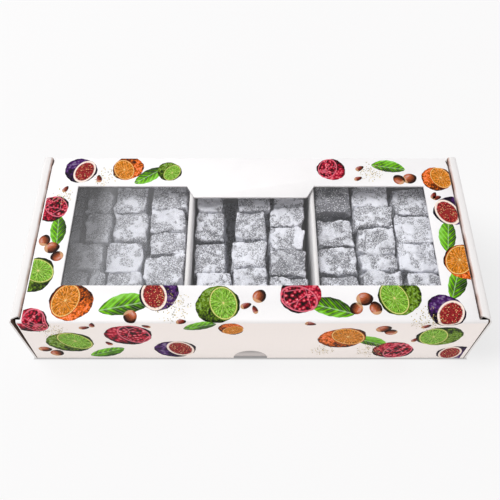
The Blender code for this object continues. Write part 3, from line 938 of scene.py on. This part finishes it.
def nut_finish(name, brown):
    """Nut in its skin, or a kernel: streaked brown with a light side."""
    finish = printed_finish(name)
    along, across, number = motif_place(finish)
    streaks = finish.noise(finish.join(along * 0.7, across * 5.0, number), 2.6, 3.0, 0.7)
    out = (along * along + across * across).root()
    light = (across * 0.9 - along * 0.4).step(-0.8, 0.8)
    lit = light * 0.85 + streaks * 1.1 - out.step(0.5, 1.0) * 0.45 - 0.47
    skin = finish.tones(lit, *shades(brown, 0.03, 0.32, 0.95, 1.35))
    scar = 1 - (along + 0.62).step(0.0, 0.16)
    return finish_print(finish, finish.mix(scar * 0.65, skin, rgb(222, 176, 132)), streaks)


def print_finishes(settings):
    return {
        "oranges": citrus_finish("orange_print", settings.orange, rgb(252, 150, 22), 10),
        "limes": citrus_finish("lime_print", rgb(112, 150, 16), settings.green, 9),
        "pomegranates": pomegranate_finish("pomegranate_print", settings.crimson),
        "figs": fig_finish("fig_print", settings.purple),
        "leaves": leaf_finish("leaf_print", settings.leaf),
        "nuts": nut_finish("nut_print", settings.brown),
        "kernels": nut_finish("kernel_print", rgb(150, 50, 32)),
    }


# Geometry Nodes

class Nodes:
    """A Geometry Nodes tree in the making, with named inputs for its sizes."""

    def __init__(self, name, inputs):
        self.tree = bpy.data.node_groups.new(name, "GeometryNodeTree")
        self.tree.interface.new_socket("Geometry", in_out="OUTPUT", socket_type="NodeSocketGeometry")
        self.tree.interface.new_socket("Geometry", in_out="INPUT", socket_type="NodeSocketGeometry")
        self.named = {}
        for label, kind in inputs.items():
            made = self.tree.interface.new_socket(label, in_out="INPUT", socket_type=kind)
            self.named[label] = made.identifier
        self.start = self.tree.nodes.new("NodeGroupInput")
        self.end = self.tree.nodes.new("NodeGroupOutput")

    def node(self, kind, settings=(), sockets=(), output=0):
        """Add a node: its settings first, then its sockets by name; returns one of its outputs."""
        made = self.tree.nodes.new(kind)
        for key, value in dict(settings).items():
            setattr(made, key, value)
        for key, value in dict(sockets).items():
            socket = next(i for i in made.inputs if i.enabled and i.name == key)
            if isinstance(value, bpy.types.NodeSocket):
                self.tree.links.new(value, socket)
            else:
                socket.default_value = value
        return [o for o in made.outputs if o.enabled][output]

    def given(self, label):
        return self.start.outputs[label]

    def finish(self, geometry, material):
        real = self.node("GeometryNodeRealizeInstances", (), {"Geometry": geometry})
        painted = self.node("GeometryNodeSetMaterial", (), {"Geometry": real, "Material": material})
        self.tree.links.new(painted, self.end.inputs["Geometry"])

    def run(self, piece, values):
        """Give the piece what the tree makes of its mesh."""
        change = piece.modifiers.new("scatter", "NODES")
        change.node_group = self.tree
        for label, value in values.items():
            change[self.named[label]] = value
        return apply_modifiers(piece)


def scatter_tree(name, material, radius):
    """Small lumps scattered on faces, each turned and sized at random."""
    nodes = Nodes(name, {"Density": "NodeSocketFloat", "Size": "NodeSocketFloat", "Seed": "NodeSocketInt"})
    points = nodes.node("GeometryNodeDistributePointsOnFaces", {"distribute_method": "RANDOM"}, {
        "Mesh": nodes.given("Geometry"), "Density": nodes.given("Density"), "Seed": nodes.given("Seed")})
    lump = nodes.node("GeometryNodeMeshIcoSphere", (), {"Radius": radius})
    turn = nodes.node("FunctionNodeRandomValue", {"data_type": "FLOAT_VECTOR"},
                      {"Max": (2 * math.pi, 2 * math.pi, 2 * math.pi), "Seed": 5})
    size = nodes.node("FunctionNodeRandomValue", {"data_type": "FLOAT_VECTOR"},
                      {"Min": (0.45, 0.45, 0.45), "Max": (1.2, 1.2, 1.2), "Seed": 9})
    scaled = nodes.node("ShaderNodeVectorMath", {"operation": "SCALE"},
                        {"Vector": size, "Scale": nodes.given("Size")})
    placed = nodes.node("GeometryNodeInstanceOnPoints", (), {
        "Points": points, "Instance": lump, "Rotation": turn, "Scale": scaled})
    nodes.finish(placed, material)
    return nodes


# Sweets

# Sweets darker or lighter than the rest: partly thinner or thicker dust, partly painted shade under the lid's
# edges and painted light
DUST_AND_SHADE_SHIFT = {"right_a_1": -0.58, "middle_c_4": -0.50, "left_a_1": -0.15, "left_c_2": -0.14,
              "left_c_3": -0.08, "middle_a_2": -0.20, "right_a_2": -0.18, "right_c_4": -0.13,
              "middle_b_3": 0.28, "middle_c_3": 0.12, "left_a_3": 0.12, "left_b_1": 0.14,
              "left_b_3": 0.28, "right_b_1": 0.28, "right_c_2": 0.36, "right_c_3": 0.20}
# Cell and weight of each noise that makes a sweet uneven
LUMPS = ((8 * MM, 0.55), (3.5 * MM, 0.45))
CAKES = ((7.5 * MM, 1.0), (2.4 * MM, 0.5))
GRAIN = ((1.2 * MM, 1.0),)
NICKS = ((3.6 * MM, 1.0), (1.5 * MM, 0.6))
CROOK = ((10 * MM, 1.0),)
# How far the surface grains stand out, and how far anything may on a side and on the top
GRAIN_RELIEF = 0.14 * MM
SIDE_REACH = 0.75 * MM
TOP_REACH = 0.35 * MM
# How convex an edge has to be to count as one, from nearly flat to sharp
EDGE_BEND = (0.025 * MM, 0.08 * MM)
# How far up a face has to look for loose sugar to lie on it
FACES_UP = 0.25


def dusted_finish(name, settings):
    """Caked sugar over grey gel: smooth cakes, speckled thin dust and bright edges."""
    finish = Finish(name, 0.88)
    place = finish.place()
    cake = finish.attribute("cake")
    # On the listed sweets the dust attribute is partly painted shade and painted light
    dust = finish.attribute("dust")
    rim = finish.attribute("rim")
    clouds = finish.noise(place, 150.0, 3.0, 0.6)
    patches = finish.noise(place, 430.0, 3.0, 0.7)
    speckle = finish.noise(place, 1150.0, 2.0, 0.8)
    uneven = (patches + speckle * 4.4 - 2.7) * (1.2 - cake * 0.85) * (clouds * 1.6 + 0.2)
    cover = dust + (clouds - 0.5) * 1.3 + uneven + cake * 0.56 + rim * 0.75
    cover = cover.step(-0.10, 1.10)
    tint = finish.mix(cover, tuple(settings.gel), tuple(settings.sugar))
    pits = (1 - finish.cells(place, 620.0).step(0.12, 0.30)) * (1 - cake) * (1 - rim)
    finish.set({
        "Base Color": finish.mix(pits * 0.4, tint, shade(settings.gel, 0.6)),
        "Roughness": cover * 0.14 + 0.78,
        "Normal": finish.bump(clouds * 0.5 + patches * 0.75 + speckle * 0.35 - pits * 0.2, 1.0 * MM),
    })
    return finish.material


def convexity(mesh, points, normals, rounds):
    """How far each point stands out from its neighbours, evened out along the surface."""
    count = len(points)
    ends = np.zeros(len(mesh.edges) * 2, dtype=np.int64)
    mesh.edges.foreach_get("vertices", ends)
    first, second = ends.reshape(-1, 2).T
    degree = np.bincount(ends, minlength=count)

    def mean_around(values):
        near_first = np.bincount(first, values[second], count)
        return (near_first + np.bincount(second, values[first], count)) / degree

    around = np.stack([mean_around(points[:, i]) for i in range(3)], axis=1)
    out = ((points - around) * normals).sum(axis=1)
    for _ in range(rounds):
        out = (out + mean_around(out)) / 2
    return out


def chip_corners(points, depth, draw):
    """Break a few corners and edges off along slanted planes."""
    low = points.min(axis=0)
    high = points.max(axis=0)
    middle = (low + high) / 2
    half = (high - low) / 2
    for _ in range(draw.choice((2, 3, 3, 4))):
        sideways = [draw.choice((-1, 1)) * draw.uniform(0.35, 1) for _ in range(2)]
        way = np.array((*sideways, draw.uniform(0.2, 1)))
        way /= np.linalg.norm(way)
        reach = (np.abs(way) * half).sum() - depth * draw.uniform(0.6, 1.3)
        beyond = np.maximum((points - middle) @ way - reach, 0)
        points -= way * beyond[:, None]


def roughen(mesh, settings, seed, dust_and_shade_shift):
    """Lumps, chipped corners, caked patches and ragged edges on a dense mesh of a sweet."""
    points = vectors_of(mesh, "co")
    normals = vectors_of(mesh, "normal")
    draw = random.Random(seed)
    edge = soft_step(*EDGE_BEND, convexity(mesh, points, normals, 2))
    chip_corners(points, settings.chips, draw)
    lumps = layered_noise(points, LUMPS, seed)
    caked = soft_step(-0.04, 0.30, layered_noise(points, CAKES, seed + 2))
    grain = layered_noise(points, GRAIN, seed + 4)
    nick = layered_noise(points, NICKS, seed + 5)
    rim = edge * soft_step(-0.5, 0.1, -nick)
    top = np.clip(normals[:, 2], 0, 1)
    move = settings.lumps * lumps * (0.6 + 0.4 * top)
    move += settings.crust * (caked - 0.5) * (0.4 + 0.6 * top)
    move += GRAIN_RELIEF * grain
    move += settings.rim * rim * (0.7 + 0.3 * grain)
    move -= settings.nicks * edge * soft_step(0.15, 0.75, nick)
    move += settings.press * np.abs(normals[:, 1])
    move = np.minimum(move, SIDE_REACH + TOP_REACH * top)
    points += normals * move[:, None]
    for axis in (0, 1):
        points[:, axis] += settings.crook * layered_noise(points, CROOK, seed + 7 + axis)
    points[:, 2] += settings.rim * 0.6 * rim * soft_step(0.1, 0.5, normals[:, 2])
    mesh.vertices.foreach_set("co", points.ravel())
    mesh.update()
    # The tone takes in the sweet's shift, so its dust is partly painted shade and painted light
    tone = draw.uniform(-0.13, 0.07) + dust_and_shade_shift
    for name, values in (("cake", caked), ("rim", rim), ("dust", 0.20 + tone + 0.17 * top)):
        layer = mesh.attributes.new(name, "FLOAT", "POINT")
        layer.data.foreach_set("value", values.astype(np.float32))


def sweet_nodes():
    """Nodes of single sweets, then nodes of rows and layers."""
    nodes = sorted(frame["nodes"])
    single = [node for node in nodes if node.startswith(("left_", "middle_", "right_"))]
    joined = [node for node in nodes if node.startswith(("lower_layer", "front_row", "side_row"))]
    if not single or not joined:
        raise RuntimeError("the frame has no sweets")
    return single, joined


def dust_sweet(node, settings, grid, seed, material):
    """Replace a plain solid by a dense, roughened and dusted one."""
    piece = merged_copy(node, "sugared_" + node)
    voxels = piece.modifiers.new("grid", "REMESH")
    voxels.mode = "VOXEL"
    voxels.voxel_size = grid
    apply_modifiers(piece)
    roughen(piece.data, settings, seed, DUST_AND_SHADE_SHIFT.get(node, 0.0))
    piece.data.shade_smooth()
    paint(piece, material)
    mount(piece, "carton", node)


def upward_faces(pieces, name):
    """One open mesh of all faces that face up, for the loose sugar to lie on."""
    corners = []
    faces = []
    for piece in pieces:
        start = len(corners)
        corners.extend(vert.co[:] for vert in piece.data.vertices)
        faces.extend([start + i for i in face.vertices]
                     for face in piece.data.polygons if face.normal.z > FACES_UP)
    mesh = bpy.data.meshes.new(name)
    mesh.from_pydata(corners, [], faces)
    return link(bpy.data.objects.new(name, mesh))


# Floor

# The backdrop's flat reach, the radius that it bends up with and its height, in metres
BACKDROP = (6.0, 2.0, 3.6)
BEND_STEPS = 8
BACKDROP_SIDES = 48
# The glow of the open floor, of the soft shadow beside the carton and at the carton's foot
OPEN_GLOW = (1.0, 0.995, 0.997)
SHADOW_GLOW = (0.888, 0.884, 0.886)
FOOT_GLOW = (0.30, 0.29, 0.29)
# How far the shadow reaches: its fading end to the right, its front and its back edge
SHADOW_END = (0.22, 0.45)
SHADOW_FRONT = (-0.082, -0.058)
SHADOW_BACK = (0.0, 0.075)


def floor_finish(settings):
    """Pale glowing floor, with a painted soft shadow beside the carton and a painted dark shadow at its foot.
    """
    finish = Finish("pale_floor", 0.85)
    place = finish.place()
    tone = finish.noise(place, 3.0)
    x, y, _ = finish.split(place)
    away = (abs(x) - CARTON_HIGH.x).most(abs(y) - CARTON_HIGH.y)
    contact = 1 - away.step(-0.5 * MM, 1.6 * MM)
    beside = x.step(0.9 * CARTON_HIGH.x, CARTON_HIGH.x) * (1 - x.step(*SHADOW_END))
    shadow = beside * y.step(*SHADOW_FRONT) * (1 - y.step(*SHADOW_BACK))
    glow = finish.mix(shadow, OPEN_GLOW, SHADOW_GLOW)
    finish.set({
        "Base Color": finish.mix(tone, *shades(settings.floor, 0.985, 1.0)),
        "Emission Color": finish.mix(contact, glow, FOOT_GLOW),
        "Emission Strength": settings.glow,
    })
    return finish.material


def backdrop_shape():
    """A wide floor that curves up into a round backdrop."""
    flat, bend, wall = BACKDROP
    profile = [(0.0, 0.0), (flat, 0.0)]
    for step in range(1, BEND_STEPS + 1):
        angle = math.pi / 2 * step / BEND_STEPS
        profile.append((flat + bend * math.sin(angle), bend * (1 - math.cos(angle))))
    profile.append((flat + bend, wall))
    shape = bmesh.new()
    verts = [shape.verts.new((reach, 0.0, height)) for reach, height in profile]
    edges = [shape.edges.new(pair) for pair in zip(verts, verts[1:])]
    bmesh.ops.spin(shape, geom=verts + edges, axis=(0, 0, 1), cent=(0, 0, 0), angle=2 * math.pi,
                   steps=BACKDROP_SIDES, use_merge=True)
    bmesh.ops.remove_doubles(shape, verts=shape.verts, dist=MERGE)
    bmesh.ops.recalc_face_normals(shape, faces=shape.faces)
    return shape


# Operators

class DELIGHT_OT_tray(bpy.types.Operator):
    """Finish the tray and its two partitions"""
    bl_idname = "delight.tray"
    bl_label = "Tray and partitions"

    def execute(self, context):
        settings = context.scene.delight.board
        white = (liner_finish("white_board", settings, settings.liner, 0.58, tray_stain_and_shade),
                 cut_finish("white_board_edge", settings, settings.liner))
        add_board("tray", "folded_tray", white, settings, tray_depth, tray_cut)
        for node in ("partition_left", "partition_right"):
            add_board(node, "folded_" + node, white, settings,
                      partition_depth(node), partition_cut)
        return {"FINISHED"}


class DELIGHT_OT_lid(bpy.types.Operator):
    """Finish the windowed lid and its front flap"""
    bl_idname = "delight.lid"
    bl_label = "Lid"

    def execute(self, context):
        settings = context.scene.delight.board
        coated = (liner_finish("coated_board", settings, settings.coated, 0.5, lid_painted_warm_light),
                  cut_finish("coated_board_edge", settings, settings.coated))
        add_board("lid", "windowed_lid", coated, settings, lid_depth, lid_cut)
        return {"FINISHED"}


class DELIGHT_OT_film(bpy.types.Operator):
    """Give the window its clear film"""
    bl_idname = "delight.film"
    bl_label = "Window film"

    def execute(self, context):
        settings = context.scene.delight.film
        finish = Finish("clear_film", 0.07, Metallic=0.45)
        place = finish.place()
        ripple = finish.noise(place, 9.0)
        across, along, _ = finish.split(place)
        # Painted shade at the left of the window, darker towards the back, then a fainter painted reflection;
        # the even haze is painted reflection too
        full, faint, clear = (WINDOW_X[0] + reach for reach in PAINTED_SHADE_REACH)
        sheen = 1 - (across + ripple * 0.02).step(full, faint)
        painted_reflection = (1 - across.step(faint, clear)) * (1 - sheen)
        back, front = shades(settings.dull, 0.6, 1.0)
        dull = finish.mix(along.step(*WINDOW_Y), front, back)
        finish.set({
            "Base Color": finish.mix(sheen, tuple(settings.tint), dull),
            "Alpha": ripple * 0.02 + (settings.haze - 0.01) + sheen * settings.sheen + painted_reflection * 0.07,
            "Normal": finish.bump(ripple, 1.2 * MM),
        })
        film = frame["nodes"]["window_film"]
        paint(film, finish.material)
        return {"FINISHED"}


class DELIGHT_OT_fruit(bpy.types.Operator):
    """Print fruit, leaves and nuts on the lid and the back wall"""
    bl_idname = "delight.fruit"
    bl_label = "Printed fruit"

    def execute(self, context):
        settings = context.scene.delight.fruit
        inks = print_finishes(settings)
        lid = (fold_front, on_lid, lid_cuts())
        wall = (fold_back, on_back_wall, cuts_at((-BACK_HALF, BACK_HALF), BACK_RANGE))
        for table, prefix, board, body, slot in (
                (PLACES, "printed_", lid, "lid", "printed_board"),
                (BACK_PLACES, "back_", wall, "carton", "white_board")):
            for kind, places in table.items():
                piece = add_piece(prefix + kind, motif_shape(kind, places, settings.ink, *board))
                paint(piece, inks[kind])
                mount(piece, body)
        return {"FINISHED"}


class DELIGHT_OT_crumbs(bpy.types.Operator):
    """Print golden crumbs between the fruit"""
    bl_idname = "delight.crumbs"
    bl_label = "Printed crumbs"

    def execute(self, context):
        settings = context.scene.delight.fruit
        finish = Finish("crumb_print", 0.4)
        tone = finish.noise(finish.place(), 700.0, 1.0)
        golds = (rgb(70, 76, 20), tuple(settings.crumb), rgb(236, 214, 130))
        finish.set({"Base Color": finish.tones((tone - 0.5) * 3.0 + 0.5, *golds)})
        discs = bmesh.new()
        for u, v, size in CRUMB_PATCHES:
            for part in CRUMB_CROWDING:
                disc = bmesh.ops.create_circle(discs, cap_ends=True, segments=20, radius=size * part * MM)
                bmesh.ops.translate(discs, verts=disc["verts"], vec=(u * MM, v * MM, 0.0))
        piece = add_piece("printed_crumbs", discs)
        tree = scatter_tree("crumbs", finish.material, 1.0)
        tree.run(piece, {"Density": settings.crumbs, "Size": CRUMB, "Seed": 3})
        with shape_of(piece.data) as shape:
            for vert in shape.verts:
                u, v, rise = vert.co
                vert.co = fold_front(u, v, settings.ink * (2.4 + 2.0 * rise / CRUMB))
        mount(piece, "lid")
        return {"FINISHED"}


class DELIGHT_OT_sweets(bpy.types.Operator):
    """Turn every sweet into a rough, dusted piece"""
    bl_idname = "delight.sweets"
    bl_label = "Sweets"

    def execute(self, context):
        settings = context.scene.delight.sweets
        sugared = dusted_finish("dusted_sweet", settings)
        seeds = random.Random(settings.seed)
        for nodes, grid in zip(sweet_nodes(), (settings.top_grid, settings.low_grid)):
            for node in nodes:
                dust_sweet(node, settings, grid, seeds.randrange(10**6), sugared)
        return {"FINISHED"}


class DELIGHT_OT_grains(bpy.types.Operator):
    """Scatter loose sugar on the sweets"""
    bl_idname = "delight.grains"
    bl_label = "Loose sugar"

    def execute(self, context):
        settings = context.scene.delight.sweets
        finish = Finish("loose_sugar", 0.55)
        tone = finish.noise(finish.place(), 900.0, 1.0)
        pale = tuple(min(1.0, value * 1.12) for value in settings.sugar)
        finish.set({"Base Color": finish.mix(tone, tuple(settings.sugar), pale)})
        hidden = ("sugared_lower_layer", "sugared_side_row")
        sweets = [thing for thing in context.scene.objects
                  if thing.name.startswith("sugared_") and not thing.name.startswith(hidden)]
        piece = upward_faces(sweets, "loose_sugar")
        tree = scatter_tree("grains", finish.material, 0.5)
        tree.run(piece, {"Density": settings.grains, "Size": settings.grain, "Seed": settings.seed})
        mount(piece, "carton")
        return {"FINISHED"}


class DELIGHT_OT_stage(bpy.types.Operator):
    """Set the pale floor, the soft lights and the camera"""
    bl_idname = "delight.stage"
    bl_label = "Stage"

    def execute(self, context):
        scene = context.scene
        settings = scene.delight.stage
        floor = add_piece("floor", backdrop_shape())
        floor.data.shade_smooth()
        paint(floor, floor_finish(settings))
        scene.world = self.sky(settings)
        self.lamp("key", settings.key_place, settings.lamp_size, settings.key, (1.0, 1.0, 1.0))
        self.lamp("fill", settings.fill_place, settings.lamp_size, settings.fill, settings.fill_tint)
        scene.camera = self.camera(settings)
        scene.view_settings.view_transform = "Standard"
        return {"FINISHED"}

    @staticmethod
    def sky(settings):
        """Even white light, weak near the horizon and stronger from above."""
        world = bpy.data.worlds.new("studio")
        light = Shading(world, "Background")
        height = light.split(light.node("ShaderNodeTexCoord", output="Generated"))[2]
        reach = {"Value": height, "To Min": settings.horizon, "To Max": settings.zenith}
        light.set({"Color": (1.0, 1.0, 1.0), "Strength": light.node("ShaderNodeMapRange", (), reach)})
        return world

    @staticmethod
    def lamp(name, spot, size, power, tint):
        """A round soft light that faces the carton."""
        light = bpy.data.lights.new(name, "AREA")
        light.shape = "DISK"
        light.size = size
        light.energy = power
        light.color = tint
        lamp = link(bpy.data.objects.new(name, light))
        lamp.location = spot
        lamp.rotation_euler = (-lamp.location).to_track_quat("-Z", "Y").to_euler()

    @staticmethod
    def camera(settings):
        view = bpy.data.cameras.new("camera")
        view.sensor_fit = "HORIZONTAL"
        view.sensor_width = 36.0
        view.lens = settings.lens
        view.clip_start = 0.01
        view.clip_end = 20.0
        camera = link(bpy.data.objects.new("camera", view))
        camera.location = settings.camera
        camera.rotation_euler = (math.pi / 2 - settings.pitch, 0.0, 0.0)
        return camera


STEPS = (
    DELIGHT_OT_tray, DELIGHT_OT_lid, DELIGHT_OT_film, DELIGHT_OT_fruit, DELIGHT_OT_crumbs,
    DELIGHT_OT_sweets, DELIGHT_OT_grains, DELIGHT_OT_stage,
)


class DELIGHT_PT_steps(bpy.types.Panel):
    """The steps that make the carton of sweets"""
    bl_idname = "DELIGHT_PT_steps"
    bl_label = "Turkish delight"
    bl_space_type = "VIEW_3D"
    bl_region_type = "UI"
    bl_category = "Delight"

    def draw(self, context):
        for step in STEPS:
            self.layout.operator(step.bl_idname)
        settings = context.scene.delight
        for group in (settings.board, settings.film, settings.fruit, settings.sweets, settings.stage):
            box = self.layout.box()
            for name in group.__annotations__:
                box.prop(group, name)


CLASSES = (
    BoardSettings, FilmSettings, PrintSettings, SweetSettings, StageSettings, DelightSettings,
    *STEPS, DELIGHT_PT_steps,
)


def register():
    for made in CLASSES:
        bpy.utils.register_class(made)
    bpy.types.Scene.delight = bpy.props.PointerProperty(type=DelightSettings)


def unregister():
    del bpy.types.Scene.delight
    for made in reversed(CLASSES):
        bpy.utils.unregister_class(made)


def main():
    register()
    bpy.ops.delight.tray()
    bpy.ops.delight.lid()
    bpy.ops.delight.film()
    bpy.ops.delight.fruit()
    bpy.ops.delight.crumbs()
    bpy.ops.delight.sweets()
    bpy.ops.delight.grains()
    bpy.ops.delight.stage()


if __name__ == "__main__":
    main()
